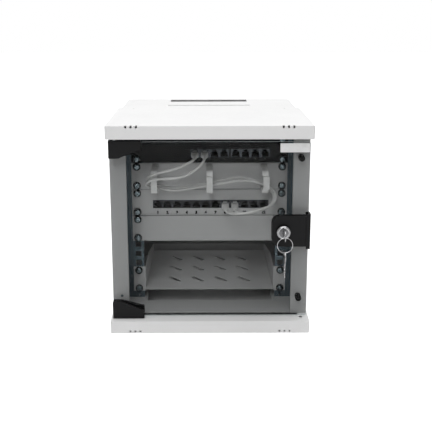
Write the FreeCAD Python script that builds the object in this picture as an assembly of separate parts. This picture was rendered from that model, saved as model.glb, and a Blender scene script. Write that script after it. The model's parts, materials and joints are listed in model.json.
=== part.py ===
import FreeCAD, Part
import math
import os

os.makedirs("parts", exist_ok=True)
V = FreeCAD.Vector

# Wall mount network cabinet, ten inch wide, six units high, with a glass door.
# X points right, Y points from the door to the wall, Z points up, in millimetres.
# The origin is at the middle of the underside. Depths are counted from the covers' front.

# Cabinet
cabinet_width = 312.0
cabinet_depth = 300.0
cabinet_height = 330.0
body_width = 300.0
body_front_width = 308.4
body_step_depth = 180.0
sheet = 1.2
cover_height = 20.0
cover_step_depth = 187.0
cover_corner = 2.5
front_lip = 24.0
side_lip = 10.0
back_lip = 12.0

# Small slots in the covers' front folds
fold_slot_offset = 117.1
fold_slot_pitch = 7.9
fold_slot_width = 3.0
fold_slot_reach = 7.0
fold_slot_drop = 3.2

# Cable entry in the covers, its sliding shutter and its blanking plate
entry_width = 140.0
entry_length = 38.0
entry_back_gap = 10.0
entry_cover_overlap = 12.0
shutter_length = 42.0
shutter_overlap = 4.0
shutter_entry_overlap = 2.0
shutter_thickness = 1.5
shutter_travel = 28.0
shutter_stud = 2.0
shutter_stud_offset = 45.0
shutter_stud_setback = 6.0
stud_head = 4.0
running_gap = 0.15

# Posts and side panels
post_setback = 31.0
post_width = 25.4
post_return = 6.0
cam_window_half = 28.0
bumper_x = 140.0
bumper_hole = 2.4
bumper_radius = 4.75
bumper_inset = 26.8
back_flange = 20.0
floor_mouth_half = 104.0
floor_mouth_setback = 80.0

# Wall slots and cable opening in the rear panel
wall_slot_pitch_x = 200.0
wall_slot_pitch_z = 200.0
wall_slot_length = 14.0
wall_slot_width = 7.0
rear_opening_width = 150.0
rear_opening_height = 50.0
rear_opening_rise = 40.0

# Rack: ten inch panels on two rails
unit = 44.45
rack_clearance = 24.0
panel_width = 254.0
panel_sheet = 1.5
panel_gap = 1.1
hole_spacing = 236.525
hole_rise_low = 6.35
hole_rise_mid = 22.225
hole_rise_high = 38.1
rail_setback = 95.0
rail_sheet = 1.5
rail_inner = 109.3
rail_side = 30.0
square_hole = 9.5
rail_foot_hole = 1.75
rail_foot_rise = 3.45
rail_stud_radius = 2.5
rail_stud_depth = 15.0
rail_stud_inset = 40.0

# Panel screws, cup washers and cage nuts
screw_radius = 2.9
screw_head = 4.7
screw_head_height = 4.0
screw_length = 18.0
washer_radius = 6.3
washer_height = 1.5
washer_rim = 1.2
washer_rim_height = 1.4
panel_hole_radius = 3.2
panel_hole_length = 10.0
nut_body = 9.0
nut_cage = 12.4
nut_depth = 5.2

# Modular jacks and plugs
port_pitch = 15.8
port_width = 12.0
port_height = 8.4
port_notch_width = 6.6
port_notch_height = 3.4
port_depth = 14.5
plug_gap = 0.15
plug_length = 21.5
boot_length = 20.0
jack_wall = 0.8
jack_proud = 0.6

# Switch
switch_port_rise = 10.0
switch_left_block = 0.1
switch_right_block = 66.5
switch_depth = 110.0
switch_half = 108.0
switch_shell = 1.0
board_thickness = 1.6
vent_centre = 50.0
vent_pitch = 9.0
vent_width = 3.0
vent_inset = 10.0
inlet_inset = 25.0
inlet_rise = 14.0

# Cable manager rings
ring_pitch = 88.0
ring_width = 9.8
ring_depth = 38.0
ring_bar = 2.6
ring_rise = 2.05
ring_height = 37.5
ring_corner = 5.0
ring_gate_drop = 9.0
ring_gate_slit = 0.8
ring_twist = 1.9

# Patch panel
patch_ports = 12
patch_centre = 2.0
patch_port_rise = 13.4
patch_depth = 22.0
idc_depth = 14.0

# Blank panel and shelf
blank_flange = 10.0
blank_half = 105.0
shelf_half = 108.0
shelf_depth = 192.0
shelf_sheet = 1.2
shelf_rise = 3.2
shelf_rear_wall = 14.0
shelf_level = 70.0
shelf_slot_length = 28.0
shelf_slot_width = 5.5
shelf_slot_pitch_x = 40.0
shelf_slot_pitch_y = 51.4
shelf_slot_first = 44.0

# Door
glass_thickness = 4.0
glass_setback = 14.0
glass_margin = 4.0
glass_gap_low = 3.5
glass_gap_high = 6.5
pivot_inset = 8.0
pivot_setback = 16.0
pin_radius = 2.0
pin_gap = 0.05
bush_radius = 3.0
bush_flange = 4.5
bush_flange_height = 0.8
shoe_clear = 1.0
gasket = 0.5
clamp = 4.0
shoe_length = 49.2
shoe_rise = 27.3
shoe_end_rise = 12.8
shoe_flat = 13.7
shoe_overhang = 0.8
shoe_back_end_rise = 18.0
shoe_block = 16.0
shoe_block_rise = 10.0
clamp_screw = 2.0

# Lock on the door
lock_inset = 39.0
lock_plate_width = 56.7
lock_plate_proud = 0.2
lock_plate_half = 24.5
lock_plate_corner = 12.5
edge_cap_half = 28.0
edge_cap_wall = 2.0
edge_cap_lip = 4.0
edge_cap_gap = 0.4
lock_screw_inset = 12.0
lock_screw_offset = 17.0
bezel_radius = 11.5
bezel_proud = 8.0
barrel_radius = 9.4
plug_radius = 6.5
cam_setback = 33.4
cam_thickness = 2.0
cam_length = 25.0
cam_half = 6.5
keyway_depth = 25.0

# Keys and ring
key_thickness = 2.0
key_bow = 10.0
key_hole = 3.0
key_hole_edge = 2.2
key_shoulder = 22.0
key_length = 46.0
key_blade = 6.4
key_gap = 0.15
ring_wire = 0.7
ring_radius = 11.3

# Bare label plate on the door
label_width = 44.7
label_margin = 1.0
label_drop = 2.2
label_height = 14.0
label_thickness = 0.4

# Patch cords
cord_radius = 2.0

# Places that follow from the sizes above
half = cabinet_width / 2
body_half = body_width / 2
front = -cabinet_depth / 2
back = cabinet_depth / 2
body_low = cover_height
body_high = cabinet_height - cover_height
wall_inner = body_half - sheet
front_half = body_front_width / 2
front_wall_inner = front_half - sheet
body_step = front + body_step_depth
post_front = front + post_setback
post_inner = front_half - post_width
panel_back = front + rail_setback
panel_front = panel_back - panel_sheet
units = int((cabinet_height - 2 * rack_clearance) // unit)
rack_low = (cabinet_height - units * unit) / 2
glass_front = front + glass_setback
glass_back = glass_front + glass_thickness
glass_half = half - glass_margin
glass_low = cover_height + glass_gap_low
glass_high = body_high - glass_gap_high
pivot_x = glass_half - pivot_inset
pivot_y = front + pivot_setback
door_mid = (glass_low + glass_high) / 2
clamp_front = glass_front - gasket
clamp_back = glass_back + gasket
lock_x = glass_half - lock_inset
lock_plate_right = glass_half + lock_plate_proud
lock_plate_left = lock_plate_right - lock_plate_width


def box(x0, x1, y0, y1, z0, z1):
    return Part.makeBox(x1 - x0, y1 - y0, z1 - z0, V(x0, y0, z0))


def rod(radius, start, axis, length):
    return Part.makeCylinder(radius, length, V(*start), V(*axis))


def plan_prism(points, z0, z1):
    wire = Part.makePolygon([V(x, y, z0) for x, y in points + points[:1]])
    return Part.Face(wire).extrude(V(0, 0, z1 - z0))


def front_prism(points, y0, y1):
    wire = Part.makePolygon([V(x, y0, z) for x, z in points + points[:1]])
    return Part.Face(wire).extrude(V(0, y1 - y0, 0))


def side_prism(points, x0, x1):
    wire = Part.makePolygon([V(x0, y, z) for y, z in points + points[:1]])
    return Part.Face(wire).extrude(V(x1 - x0, 0, 0))


def round_edges(solid, radius, chosen):
    edges = [edge for edge in solid.Edges if chosen(edge)]
    return solid.makeFillet(radius, edges)


def along_z(edge):
    return abs(edge.tangentAt(edge.FirstParameter).z) > 0.99


def along_y(edge):
    return abs(edge.tangentAt(edge.FirstParameter).y) > 0.99


def along_x(edge):
    return abs(edge.tangentAt(edge.FirstParameter).x) > 0.99


def flat_slot(x, z, width, length, y0, y1):
    """A horizontal obround through a sheet that faces Y."""
    straight = (length - width) / 2
    radius = width / 2
    bar = box(x - straight, x + straight, y0, y1, z - radius, z + radius)
    ends = [rod(radius, (x + side * straight, y0, z), (0, 1, 0), y1 - y0) for side in (-1, 1)]
    return bar.fuse(ends)


def mirror_z(solid):
    """The same pressing turned over, about the cabinet's half height."""
    return solid.mirror(V(0, 0, cabinet_height / 2), V(0, 0, 1))


def mirror_x(solid):
    return solid.mirror(V(0, 0, 0), V(1, 0, 0))


def save(name, solids):
    if not isinstance(solids, list):
        solids = [solids]
    shape = solids[0] if len(solids) == 1 else Part.makeCompound(solids)
    shape.exportStep("parts/" + name + ".step")


# Covers
entry_back = back - entry_back_gap
entry_front = entry_back - entry_length
shutter_back = entry_front + shutter_entry_overlap
shutter_front = shutter_back - shutter_length
cover_screw_x = body_half - 6.0
cover_screw_depths = (60.0, 240.0)
cover_screw_radius = 1.9
hole_gap = 0.2


def cover_body(inset, z0, z1, corner):
    wide = half - inset
    narrow = body_half - inset
    step = front + cover_step_depth - inset
    outline = [
        (-wide, front + inset), (wide, front + inset), (wide, step), (narrow, step),
        (narrow, back - inset), (-narrow, back - inset), (-narrow, step), (-wide, step),
    ]
    body = plan_prism(outline, z0, z1)
    return round_edges(body, corner, lambda e: along_z(e) and abs(e.CenterOfMass.x) > wide - 0.1)


def make_cover():
    """A cover as it lies on the floor: a pan with its open side and return lips up."""
    pan = cover_body(0.0, 0.0, cover_height, cover_corner)
    pan = pan.cut(cover_body(sheet, sheet, cover_height - sheet, cover_corner - sheet))
    mouth_half = body_half - side_lip
    mouth = box(-mouth_half, mouth_half, front + front_lip, back - back_lip,
                cover_height - 2 * sheet, cover_height + 1)
    pan = pan.cut(mouth)
    pan = pan.cut(box(-entry_width / 2, entry_width / 2, entry_front, entry_back, -1, 2 * sheet))
    holes = []
    for side in (-1, 1):
        holes.append(rod(bush_radius + hole_gap / 2, (side * pivot_x, pivot_y, cover_height - 3 * sheet),
                         (0, 0, 1), 4 * sheet))
        for depth in cover_screw_depths:
            holes.append(rod(cover_screw_radius + hole_gap / 2,
                             (side * cover_screw_x, front + depth, cover_height - 3 * sheet),
                             (0, 0, 1), 4 * sheet))
    return pan.cut(holes)


def fold_slots(reach, low, high):
    cuts = []
    for side in (-1, 1):
        for step in (-1, 0, 1):
            x = side * fold_slot_offset + step * fold_slot_pitch
            cuts.append(box(x - fold_slot_width / 2, x + fold_slot_width / 2,
                            front - 1, front + reach, low, high))
    return cuts


dot_x = 129.5
dot_depth = 178.0
dot_radius = 1.6
bottom_slot_low = 1.8
bottom_slot_high = 4.6
blank_screw_x = entry_width / 2 + 6.0

plain_cover = make_cover()
blank_screw_y = (entry_front + entry_back) / 2
blank_screw_holes = [rod(cover_screw_radius + hole_gap / 2, (side * blank_screw_x, blank_screw_y, -1),
                         (0, 0, 1), 3 * sheet) for side in (-1, 1)]
bottom_cover = plain_cover.cut(fold_slots(2 * sheet, bottom_slot_low, bottom_slot_high))
bottom_cover = bottom_cover.cut(blank_screw_holes)
save("bottom_cover", bottom_cover)

guide_slots = []
stud_y = shutter_front + shutter_stud_setback
guide_half = shutter_stud + running_gap
for side in (-1, 1):
    x = side * shutter_stud_offset
    guide = box(x - guide_half, x + guide_half, stud_y, stud_y + shutter_travel, -1, 2 * sheet)
    ends = [rod(guide_half, (x, y, -1), (0, 0, 1), 1 + 2 * sheet) for y in (stud_y, stud_y + shutter_travel)]
    guide_slots.append(guide.fuse(ends))
top_cover = plain_cover.cut(fold_slots(fold_slot_reach, -1, fold_slot_drop)).cut(guide_slots)
dots = [rod(dot_radius, (side * dot_x, front + dot_depth, -1), (0, 0, 1), 3 * sheet) for side in (-1, 1)]
top_cover = top_cover.cut(dots)
save("top_cover", mirror_z(top_cover))


def make_shutter():
    """The plate lies on the top cover; two headed studs hold it through the guide slots."""
    reach = entry_width / 2 + shutter_overlap / 2
    plate = box(-reach, reach, shutter_front, shutter_back, -shutter_thickness, -0.05)
    plate = round_edges(plate, 1.0, along_z)
    for side in (-1, 1):
        x = side * shutter_stud_offset
        plate = plate.fuse(rod(shutter_stud, (x, stud_y, -0.5), (0, 0, 1), sheet + 0.8))
        plate = plate.fuse(rod(stud_head, (x, stud_y, sheet + 0.1), (0, 0, 1), 1.2))
    return plate


save("cable_entry_shutter", mirror_z(make_shutter()))

entry_cover_half = entry_width / 2 + entry_cover_overlap
blank_plate = box(-entry_cover_half, entry_cover_half, entry_front - 8, back - sheet - 1, sheet, 2 * sheet)
for side in (-1, 1):
    blank_plate = blank_plate.cut(rod(cover_screw_radius + hole_gap / 2,
                                      (side * blank_screw_x, blank_screw_y, 0), (0, 0, 1), 4 * sheet))
save("cable_entry_blank", blank_plate)


def pan_screw(radius, head, head_height, length, start, axis):
    """A pan head screw: start is under the head and axis points along the shank."""
    shank = rod(radius, start, axis, length)
    under = V(*start)
    way = V(*axis)
    top = rod(head, tuple(under - way * head_height), axis, head_height)
    top = round_edges(top, head_height * 0.45,
                      lambda e: (e.CenterOfMass - under).dot(way) < -head_height * 0.9)
    return top.fuse(shank)


cover_screws = []
for side in (-1, 1):
    for depth in cover_screw_depths:
        start = (side * cover_screw_x, front + depth, body_low + sheet)
        low_screw = pan_screw(cover_screw_radius, 3.6, 2.2, 8.0, start, (0, 0, -1))
        cover_screws.append(low_screw)
        cover_screws.append(mirror_z(low_screw))
    cover_screws.append(pan_screw(cover_screw_radius, 3.6, 2.2, 2 * sheet,
                                  (side * blank_screw_x, blank_screw_y, 2 * sheet), (0, 0, -1)))
save("cover_screws", cover_screws)


# Floor and roof of the body, with tabs that stand against the side walls
floor_tabs = (
    (front_wall_inner, post_front + 14, post_front + 50),
    (front_wall_inner, body_step - 45, body_step - 10),
    (wall_inner, body_step + 10, body_step + 90),
)


def make_floor():
    plate = box(-wall_inner, wall_inner, body_step - 2 * sheet, back - 2 * sheet, body_low, body_low + sheet)
    plate = plate.fuse(box(-front_wall_inner, front_wall_inner, post_front + sheet, body_step - sheet,
                           body_low, body_low + sheet))
    for side in (-1, 1):
        return_notch = box(post_inner - hole_gap, post_inner + sheet + hole_gap, post_front,
                           post_front + post_return + hole_gap, body_low - 1, body_low + 2 * sheet)
        plate = plate.cut(return_notch if side > 0 else mirror_x(return_notch))
        for wall, y0, y1 in floor_tabs:
            tab = box(0, sheet, y0, y1, body_low, body_low + 12)
            tab.translate(V(side * (wall - sheet / 2) - sheet / 2, 0, 0))
            plate = plate.fuse(tab)
        for depth in cover_screw_depths:
            plate = plate.cut(rod(cover_screw_radius + hole_gap / 2,
                                  (side * cover_screw_x, front + depth, body_low - 1), (0, 0, 1), 4))
    return plate.removeSplitter()


roof_entry = box(-entry_width / 2 - 5, entry_width / 2 + 5, shutter_front - 5, back - 2 * sheet - 6,
                 body_low - 1, body_low + 3)
floor_mouth = box(-floor_mouth_half, floor_mouth_half, front + floor_mouth_setback, back - 2 * sheet - 6,
                  body_low - 1, body_low + 3)
floor_plate = make_floor()
save("floor_panel", floor_plate.cut(floor_mouth))
save("roof_panel", mirror_z(floor_plate.cut(roof_entry)))


# Side panels with the front posts
rail_stud_rises = (body_low + rail_stud_inset, cabinet_height / 2, body_high - rail_stud_inset)
rail_stud_y = panel_back + rail_stud_depth
bumper_rises = (glass_low + bumper_inset, glass_high - bumper_inset)


def make_side():
    """The right side panel, folded in plan: post flange with its return, stepped wall, back flange."""
    inner = post_inner
    y0 = post_front
    y1 = back - sheet
    outline = [
        (inner, y0), (front_half, y0), (front_half, body_step), (body_half, body_step), (body_half, y1),
        (body_half - back_flange, y1), (body_half - back_flange, y1 - sheet), (wall_inner, y1 - sheet),
        (wall_inner, body_step - sheet), (front_wall_inner, body_step - sheet),
        (front_wall_inner, y0 + sheet), (inner + sheet, y0 + sheet),
        (inner + sheet, y0 + post_return), (inner, y0 + post_return),
    ]
    panel = plan_prism(outline, body_low, body_high)
    panel = round_edges(panel, sheet, lambda e: along_z(e) and e.CenterOfMass.x > front_half - 0.1)
    window = box(inner - 1, inner + 2 * sheet, y0 + sheet, y0 + post_return + 1,
                 door_mid - cam_window_half, door_mid + cam_window_half)
    panel = panel.cut(window)
    for rise in bumper_rises:
        panel = panel.cut(rod(bumper_hole, (bumper_x, y0 - 1, rise), (0, 1, 0), 2 * sheet + 1))
    for rise in rail_stud_rises:
        panel = panel.fuse(rod(rail_stud_radius, (front_wall_inner - 9, rail_stud_y, rise), (1, 0, 0), 9.5))
    return panel


side_panel = make_side()
save("side_panel_right", side_panel)
save("side_panel_left", mirror_x(side_panel))

rear_panel = box(-body_half, body_half, back - sheet, back, body_low, body_high)
for side in (-1, 1):
    for level in (-1, 1):
        rear_panel = rear_panel.cut(flat_slot(
            side * wall_slot_pitch_x / 2, cabinet_height / 2 + level * wall_slot_pitch_z / 2,
            wall_slot_width, wall_slot_length, back - 2 * sheet, back + 1))
rear_opening = box(-rear_opening_width / 2, rear_opening_width / 2, back - 2 * sheet, back + 1,
                   body_low + rear_opening_rise, body_low + rear_opening_rise + rear_opening_height)
rear_opening = round_edges(rear_opening, 6.0, along_y)
rear_panel = rear_panel.cut(rear_opening)
save("rear_panel", rear_panel)


# Rack rails
def rack_level(number):
    """Underside of a rack unit, number 1 at the top."""
    return rack_low + (units - number) * unit


def make_rail():
    y0 = panel_back
    outline = [
        (rail_inner, y0), (front_wall_inner, y0), (front_wall_inner, y0 + rail_side),
        (front_wall_inner - rail_sheet, y0 + rail_side), (front_wall_inner - rail_sheet, y0 + rail_sheet),
        (rail_inner, y0 + rail_sheet),
    ]
    rail = plan_prism(outline, body_low + sheet, body_high - sheet)
    x = hole_spacing / 2
    side = square_hole / 2
    holes = []
    for number in range(1, units + 1):
        for rise in (hole_rise_low, hole_rise_mid, hole_rise_high):
            z = rack_level(number) + rise
            holes.append(box(x - side, x + side, y0 - 1, y0 + rail_sheet + 1, z - side, z + side))
    holes.append(rod(rail_foot_hole, (x, y0 - 1, body_low + sheet + rail_foot_rise), (0, 1, 0), rail_sheet + 2))
    for rise in rail_stud_rises:
        for shift in (-3, 0, 3):
            holes.append(rod(rail_stud_radius + hole_gap, (front_wall_inner - 3, rail_stud_y, rise + shift),
                             (1, 0, 0), 4))
    return rail.cut(holes)


rail = make_rail()
save("rail_right", rail)
save("rail_left", mirror_x(rail))


def hexagon(across, x0, x1, y, z):
    radius = across / math.sqrt(3)
    points = [(y + radius * math.cos(math.radians(60 * k)), z + radius * math.sin(math.radians(60 * k)))
              for k in range(6)]
    return side_prism(points, x0, x1)


rail_nuts = []
nut_face = front_wall_inner - rail_sheet
for rise in rail_stud_rises:
    nut = hexagon(8.0, nut_face - 5.0, nut_face - 1.2, rail_stud_y, rise)
    nut = nut.fuse(rod(6.0, (nut_face - 1.2, rail_stud_y, rise), (1, 0, 0), 1.2))
    nut = nut.cut(rod(rail_stud_radius + pin_gap, (nut_face - 6, rail_stud_y, rise), (1, 0, 0), 8))
    rail_nuts.append(nut)
    rail_nuts.append(mirror_x(nut))
save("rail_nuts", rail_nuts)

# Fasteners of the rack panels
fitted_units = (1, 2, 3, 4, units)
fixings = [(side * hole_spacing / 2, rack_level(number) + rise)
           for number in fitted_units for side in (-1, 1) for rise in (hole_rise_low, hole_rise_high)]


def cup_washer(x, z):
    """A plastic washer with a raised rim round the screw's head."""
    rim_front = panel_front - washer_height - washer_rim_height
    cup = rod(washer_radius, (x, rim_front, z), (0, 1, 0), washer_height + washer_rim_height)
    cup = round_edges(cup, washer_rim * 0.5, lambda e: e.CenterOfMass.y < rim_front + 0.1)
    cup = cup.cut(rod(washer_radius - washer_rim, (x, rim_front - 1, z), (0, 1, 0), washer_rim_height + 1))
    bore = rod(screw_radius + hole_gap, (x, rim_front - 1, z), (0, 1, 0), washer_height + washer_rim_height + 2)
    return cup.cut(bore)


def panel_screw(x, z):
    under = panel_front - washer_height
    screw = pan_screw(screw_radius, screw_head, screw_head_height, screw_length, (x, under, z), (0, 1, 0))
    face = under - screw_head_height
    arm = screw_head * 0.5
    for tilt in (45, 135):
        blade = box(-arm, arm, -1, 2.0, -0.7, 0.7)
        blade.rotate(V(0, 0, 0), V(0, 1, 0), tilt)
        blade.translate(V(x, face, z))
        screw = screw.cut(blade)
    return screw


def cage_nut(x, z):
    behind = panel_back + rail_sheet
    neck = square_hole / 2 - 0.15
    body = nut_body / 2
    cage = nut_cage / 2
    nut = box(x - neck, x + neck, panel_back + 0.3, behind, z - neck, z + neck)
    nut = nut.fuse(box(x - cage, x + cage, behind, behind + 1.4, z - neck, z + neck))
    nut = nut.fuse(box(x - body, x + body, behind, behind + nut_depth, z - body, z + body))
    return nut.cut(rod(screw_radius + pin_gap, (x, panel_back - 1, z), (0, 1, 0), nut_depth + 5))


save("cup_washers", [cup_washer(x, z) for x, z in fixings])
save("panel_screws", [panel_screw(x, z) for x, z in fixings])
save("cage_nuts", [cage_nut(x, z) for x, z in fixings])


def rack_panel(number):
    """A flat rack panel with its four slotted holes."""
    low = rack_level(number) + panel_gap / 2
    high = rack_level(number) + unit - panel_gap / 2
    plate = box(-panel_width / 2, panel_width / 2, panel_front, panel_back, low, high)
    for side in (-1, 1):
        for rise in (hole_rise_low, hole_rise_high):
            plate = plate.cut(flat_slot(side * hole_spacing / 2, rack_level(number) + rise,
                                        2 * panel_hole_radius, panel_hole_length,
                                        panel_front - 1, panel_back + 1))
    return plate


# Modular jacks
def port_hole(x, low, face, deep):
    """The mouth of one jack: a square port with the latch notch above it."""
    port = box(x - port_width / 2, x + port_width / 2, face - 1, face + deep, low, low + port_height)
    top = low + port_height + port_notch_height
    notch = box(x - port_notch_width / 2, x + port_notch_width / 2, face - 1, face + deep, low, top)
    return port.fuse(notch)


def jack_block(centre, ports, low, face, depth):
    reach = ports * port_pitch / 2
    top = low + port_height + port_notch_height + jack_wall
    block = box(centre - reach, centre + reach, face, face + depth, low - jack_wall, top)
    for k in range(ports):
        x = centre + (k - (ports - 1) / 2) * port_pitch
        block = block.cut(port_hole(x, low, face, port_depth))
    return block


def jack_window(centre, ports, low):
    reach = ports * port_pitch / 2 + plug_gap
    top = low + port_height + port_notch_height + jack_wall + plug_gap
    return box(centre - reach, centre + reach, panel_front - 1, panel_back + 1,
               low - jack_wall - plug_gap, top)


# Switch in unit 1
switch_block_x = (switch_left_block, switch_right_block)
switch_low = rack_level(1) + switch_port_rise
switch_face = panel_front - jack_proud
switch_front = rack_panel(1)
for centre in switch_block_x:
    switch_front = switch_front.cut(jack_window(centre, 4, switch_low))
save("switch_front", switch_front)
jack_depth = port_depth + 2.0
save("switch_jacks", [jack_block(c, 4, switch_low, switch_face, jack_depth) for c in switch_block_x])
shell_low = rack_level(1) + 1.2
shell_high = rack_level(1) + unit - 1.2
shell_back = panel_back + switch_depth
switch_housing = box(-switch_half, switch_half, panel_back, shell_back, shell_low, shell_high)
switch_housing = switch_housing.cut(box(
    -switch_half + switch_shell, switch_half - switch_shell, panel_back - 1, shell_back - switch_shell,
    shell_low + switch_shell, shell_high - switch_shell))
inlet_x = -switch_half + inlet_inset
inlet_z = shell_low + inlet_rise
switch_housing = switch_housing.cut(rod(4.2, (inlet_x, shell_back - 3, inlet_z), (0, 1, 0), 5))
for k in range(9):
    y = panel_back + vent_centre + (k - 4) * vent_pitch
    for side in (-1, 1):
        vent = box(side * switch_half - 2, side * switch_half + 2, y - vent_width / 2,
                   y + vent_width / 2, shell_low + vent_inset, shell_high - vent_inset)
        switch_housing = switch_housing.cut(vent)
save("switch_housing", switch_housing)
board_top = switch_low - jack_wall
switch_board = box(-switch_half + 4, switch_half - 4, panel_back + 1, shell_back - 12,
                   board_top - board_thickness, board_top)
save("switch_board", switch_board)
inlet = rod(4.0, (inlet_x, shell_back - 10, inlet_z), (0, 1, 0), 10)
inlet = inlet.fuse(box(inlet_x - 5, inlet_x + 5, shell_back - 11, shell_back - 1.2,
                       board_top, inlet_z + 5))
inlet = inlet.cut(rod(2.8, (inlet_x, shell_back - 9, inlet_z), (0, 1, 0), 10))
inlet = inlet.fuse(rod(0.9, (inlet_x, shell_back - 9.5, inlet_z), (0, 1, 0), 8.5))
save("power_inlet", inlet)

# Cable manager in unit 2
ring_middles = (-ring_pitch, 0.0, ring_pitch)
ring_bottom = rack_level(2) + ring_rise
ring_top = ring_bottom + ring_height
ring_low_arm = ring_bottom + ring_bar / 2
ring_top_arm = ring_top - ring_bar / 2
slot_above = 2.4
manager = rack_panel(2)
for middle in ring_middles:
    for arm, above in ((ring_low_arm, hole_gap), (ring_top_arm, slot_above)):
        reach = ring_width / 2 + 0.3
        manager = manager.cut(box(middle - reach, middle + reach, panel_front - 1, panel_back + 1,
                                  arm - ring_bar / 2 - hole_gap, arm + ring_bar / 2 + above))
save("cable_manager_panel", manager)


def make_ring(middle, twist):
    """A snap-in cable ring: two arms, a front bar with a slanted gate, and barbs behind the sheet."""
    y0 = panel_front - ring_depth
    y1 = panel_back + 3.2
    hoop = box(-ring_width / 2, ring_width / 2, y0, y1, ring_bottom, ring_top)
    hoop = round_edges(hoop, ring_corner, lambda e: along_x(e) and e.CenterOfMass.y < y0 + 0.1)
    inside = box(-ring_width, ring_width, y0 + ring_bar, y1 + 1, ring_bottom + ring_bar, ring_top - ring_bar)
    inside = round_edges(inside, ring_corner - ring_bar, lambda e: along_x(e)
                         and e.CenterOfMass.y < y0 + ring_bar + 0.1)
    hoop = hoop.cut(inside)
    for z0, z1 in ((ring_bottom - 1.0, ring_bottom + ring_bar), (ring_top - ring_bar, ring_top + 1.0)):
        hoop = hoop.fuse(box(-ring_width / 2, ring_width / 2, panel_back + 0.2, y1, z0, z1))
    gate = ring_top - ring_gate_drop
    slant = 1.2
    cut = front_prism([(-ring_width, gate + slant), (ring_width, gate - slant),
                       (ring_width, gate - slant - ring_gate_slit), (-ring_width, gate + slant - ring_gate_slit)],
                      y0 - 1, y0 + ring_corner + 2)
    hoop = hoop.cut(cut)
    if twist:
        bar = hoop.common(box(-ring_width, ring_width, y0 - 1, y0 + ring_bar, ring_bottom + ring_corner + 2, gate))
        hoop = hoop.cut(box(-ring_width, ring_width, y0 - 1, y0 + ring_bar, ring_bottom + ring_corner + 2, gate))
        bar.translate(V(twist, 0, 0))
        hoop = hoop.fuse(bar)
    hoop.translate(V(middle, 0, 0))
    return hoop


save("cable_ring_left", make_ring(ring_middles[0], 0.0))
save("cable_ring_middle", make_ring(ring_middles[1], 0.0))
save("cable_ring_right", make_ring(ring_middles[2], ring_twist))

# Patch panel in unit 3
patch_low = rack_level(3) + patch_port_rise
save("patch_panel", rack_panel(3).cut(jack_window(patch_centre, patch_ports, patch_low)))
save("patch_jacks", jack_block(patch_centre, patch_ports, patch_low, switch_face, patch_depth))
patch_board_y = switch_face + patch_depth
patch_half = patch_ports * port_pitch / 2
patch_board = box(patch_centre - patch_half - 3, patch_centre + patch_half + 3, patch_board_y,
                  patch_board_y + board_thickness, rack_level(3) + 4, rack_level(3) + unit - 4)
save("patch_board", patch_board)
idc_blocks = []
for k in range(patch_ports):
    x = patch_centre + (k - (patch_ports - 1) / 2) * port_pitch
    idc_y = patch_board_y + board_thickness
    for low in (rack_level(3) + 7, rack_level(3) + 25):
        block = box(x - 6.6, x + 6.6, idc_y, idc_y + idc_depth, low, low + 12)
        for step in (-1, 0, 1):
            block = block.cut(box(x + step * 3.3 - 0.5, x + step * 3.3 + 0.5, idc_y + 6, idc_y + idc_depth + 1,
                                  low - 1, low + 13))
        idc_blocks.append(block)
save("idc_blocks", idc_blocks)

# Blank panel in unit 4
blank = rack_panel(4)
blank_low = rack_level(4) + panel_gap / 2
blank_high = rack_level(4) + unit - panel_gap / 2
for z0, z1 in ((blank_low, blank_low + panel_sheet), (blank_high - panel_sheet, blank_high)):
    blank = blank.fuse(box(-blank_half, blank_half, panel_back, panel_back + blank_flange, z0, z1))
    for side in (-1, 1):
        blank = blank.cut(box(side * (blank_half + 1.2) - 1.2, side * (blank_half + 1.2) + 1.2,
                              panel_front - 1, panel_back + 1, z0 - 0.5, z1 + 0.5))
save("blank_panel", blank.removeSplitter())

# Shelf in the lowest unit
shelf_level_low = rack_level(units)
shelf_floor = shelf_level_low + shelf_rise
shelf_top = shelf_level_low + unit - panel_gap / 2
shelf_back = panel_front + shelf_depth


def make_shelf():
    tray = box(-shelf_half, shelf_half, panel_front, shelf_back, shelf_floor, shelf_floor + shelf_sheet)
    wall_profile = [
        (panel_front, shelf_floor), (shelf_back, shelf_floor), (shelf_back, shelf_floor + shelf_rear_wall),
        (panel_front + shelf_level, shelf_top), (panel_front, shelf_top),
    ]
    for side in (-1, 1):
        inner = side * (shelf_half - shelf_sheet)
        outer = side * shelf_half
        tray = tray.fuse(side_prism(wall_profile, min(inner, outer), max(inner, outer)))
        ear = box(min(outer, side * panel_width / 2), max(outer, side * panel_width / 2),
                  panel_front, panel_back, shelf_level_low + panel_gap, shelf_top)
        for rise in (hole_rise_low, hole_rise_high):
            ear = ear.cut(flat_slot(side * hole_spacing / 2, shelf_level_low + rise, 2 * panel_hole_radius,
                                    panel_hole_length, panel_front - 1, panel_back + 1))
        tray = tray.fuse(ear)
    back_fold = box(-shelf_half, shelf_half, shelf_back - shelf_sheet, shelf_back, shelf_floor,
                    shelf_floor + shelf_rear_wall)
    tray = tray.fuse(back_fold)
    straight = (shelf_slot_length - shelf_slot_width) / 2
    for row in range(3):
        for column in range(4):
            slot = box(-straight, straight, -shelf_slot_width / 2, shelf_slot_width / 2, -2, 3)
            for side in (-1, 1):
                slot = slot.fuse(rod(shelf_slot_width / 2, (side * straight, 0, -2), (0, 0, 1), 5))
            slot.rotate(V(0, 0, 0), V(0, 0, 1), -45)
            slot.translate(V((column - 1.5) * shelf_slot_pitch_x,
                             panel_front + shelf_slot_first + row * shelf_slot_pitch_y, shelf_floor))
            tray = tray.cut(slot)
    return tray.removeSplitter()


save("shelf", make_shelf())

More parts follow.
